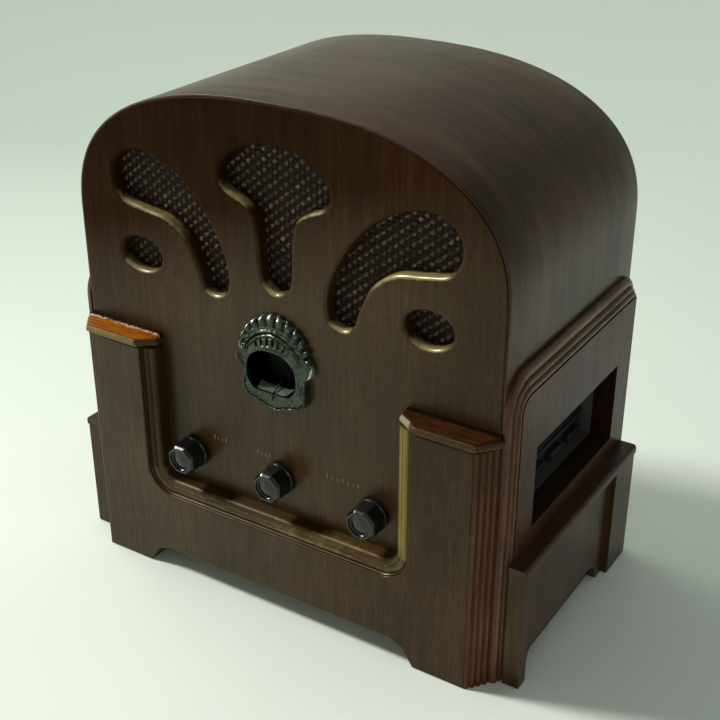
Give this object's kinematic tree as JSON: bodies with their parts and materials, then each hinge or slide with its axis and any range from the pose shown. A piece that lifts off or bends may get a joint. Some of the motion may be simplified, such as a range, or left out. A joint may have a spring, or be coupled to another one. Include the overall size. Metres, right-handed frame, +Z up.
{
  "type": "radio cassette player",
  "caption": "Arched wooden table radio with carved grille openings, cast dial frame, black knobs and a cassette deck in its right side.",
  "frame": {"origin": "on the floor, at the middle of the box that holds the object", "axes": "+Z up, +X to the right along the front, the front faces -Y"},
  "size_m": [0.3016, 0.174, 0.2985],
  "materials": {
    "veneer": "satin lacquer over dark red-brown oak veneer",
    "moulding": "satin lacquer, worn light on the edges",
    "plain_wood": "raw plywood",
    "pale_wood": "raw pine",
    "cloth": "basket weave of dark brown and silver threads",
    "pewter": "cast, aged grey-green, worn bright on the beads",
    "clear": "clear sheet",
    "dial_card": "matt grey-green",
    "black_gloss": "gloss",
    "black_matte": "matt",
    "grey_plastic": "matt",
    "key_plastic": "satin",
    "white_plastic": "matt",
    "steel": "plated",
    "screw_steel": "plated",
    "aluminium": "plain",
    "brass": "plain",
    "magnet": "matt",
    "paper_cone": "matt black paper",
    "board_green": "brown-green laminate",
    "rubber": "matt"
  },
  "bodies": {
    "cabinet": {"front_panel": "veneer", "case_shell": "veneer", "bottom_board": "plain_wood", "rear_cover": "plain_wood", "rear_cover_screws": "screw_steel", "glue_blocks": "pale_wood", "cord_gland": "rubber", "front_apron": "veneer", "apron_trim": "moulding", "corner_reeds": "moulding", "left_column_cap": "moulding", "right_column_cap": "moulding", "left_side_plate": "veneer", "right_side_plate": "veneer", "left_plate_moulding": "moulding", "right_plate_moulding": "moulding", "left_side_skirt": "veneer", "right_side_skirt": "veneer", "left_ledge": "moulding", "right_ledge": "moulding", "grille_cloth": "cloth", "baffle_board": "plain_wood", "speaker_frame": "steel", "speaker_cone": "paper_cone", "speaker_magnet": "magnet", "speaker_screws": "screw_steel", "escutcheon": "pewter", "dial_window": "clear", "dial_plate": "dial_card", "tuning_capacitor": "aluminium", "tuning_bearing": "brass", "volume_control": "steel", "band_switch": "brass", "circuit_board": "board_green", "board_spacers": "white_plastic", "mains_transformer": "magnet", "bay_liner": "grey_plastic", "tape_fascia": "black_matte", "tape_chassis": "steel", "tape_head": "steel", "tape_motor": "steel", "drive_belt": "rubber"},
    "volume": {"volume_knob": "black_gloss", "volume_shaft": "steel"},
    "tuning": {"tuning_knob": "black_gloss", "tuning_shaft": "brass"},
    "band": {"band_knob": "black_gloss", "band_shaft": "steel"},
    "pointer": {"dial_pointer": "black_matte"},
    "door": {"tape_door": "key_plastic"},
    "rewind": {"rewind_key": "key_plastic"},
    "play": {"play_key": "key_plastic"},
    "forward": {"forward_key": "key_plastic"},
    "stop": {"stop_key": "key_plastic"},
    "supply_reel": {"supply_spindle": "white_plastic"},
    "takeup_reel": {"takeup_spindle": "white_plastic"},
    "capstan_wheel": {"capstan": "brass"},
    "roller": {"pinch_roller": "rubber"},
    "motor_rotor": {"motor_pulley": "brass"}
  },
  "joints": [
    {"name": "volume_turn", "type": "hinge", "parent": "cabinet", "child": "volume", "pos_m": [-0.061, -0.087, 0.0835], "axis": [0, 1, 0], "range_deg": [-150, 150]},
    {"name": "tuning_turn", "type": "hinge", "parent": "cabinet", "child": "tuning", "pos_m": [0, -0.087, 0.0855], "axis": [0, 1, 0], "range_deg": [-540, 540]},
    {"name": "band_turn", "type": "hinge", "parent": "cabinet", "child": "band", "pos_m": [0.061, -0.087, 0.0835], "axis": [0, 1, 0], "range_deg": [-60, 60]},
    {"name": "pointer_turn", "type": "hinge", "parent": "cabinet", "child": "pointer", "pos_m": [0, -0.061, 0.157], "axis": [0, 1, 0], "range_deg": [-90, 90]},
    {"name": "door_swing", "type": "hinge", "parent": "cabinet", "child": "door", "pos_m": [0.1188, 0.00925, 0.1189], "axis": [0, 1, 0], "range_deg": [0, 80], "stiffness_Nm_per_rad": 0.01},
    {"name": "rewind_press", "type": "slide", "parent": "cabinet", "child": "rewind", "axis": [-1, 0, 0], "range_m": [0, 0.0035], "stiffness_N_per_m": 150},
    {"name": "play_press", "type": "slide", "parent": "cabinet", "child": "play", "axis": [-1, 0, 0], "range_m": [0, 0.0035], "stiffness_N_per_m": 150},
    {"name": "forward_press", "type": "slide", "parent": "cabinet", "child": "forward", "axis": [-1, 0, 0], "range_m": [0, 0.0035], "stiffness_N_per_m": 150},
    {"name": "stop_press", "type": "slide", "parent": "cabinet", "child": "stop", "axis": [-1, 0, 0], "range_m": [0, 0.0035], "stiffness_N_per_m": 150},
    {"name": "supply_spin", "type": "hinge", "parent": "cabinet", "child": "supply_reel", "pos_m": [0.084, 0.0305, 0.101], "axis": [0, 0, 1], "continuous": true},
    {"name": "takeup_spin", "type": "hinge", "parent": "cabinet", "child": "takeup_reel", "pos_m": [0.084, -0.012, 0.101], "axis": [0, 0, 1], "continuous": true},
    {"name": "capstan_spin", "type": "hinge", "parent": "cabinet", "child": "capstan_wheel", "pos_m": [0.06, -0.02275, 0.09], "axis": [0, 0, 1], "continuous": true},
    {"name": "roller_spin", "type": "hinge", "parent": "cabinet", "child": "roller", "pos_m": [0.0528, -0.02275, 0.107], "axis": [0, 0, 1], "continuous": true},
    {"name": "motor_spin", "type": "hinge", "parent": "cabinet", "child": "motor_rotor", "pos_m": [0.07, 0.04325, 0.08], "axis": [0, 0, 1], "continuous": true}
  ],
  "couplings": [
    {"joint": "pointer_turn", "follows": "tuning_turn", "ratio": 0.16667},
    {"joint": "motor_spin", "follows": "capstan_spin", "ratio": 3.5}
  ]
}
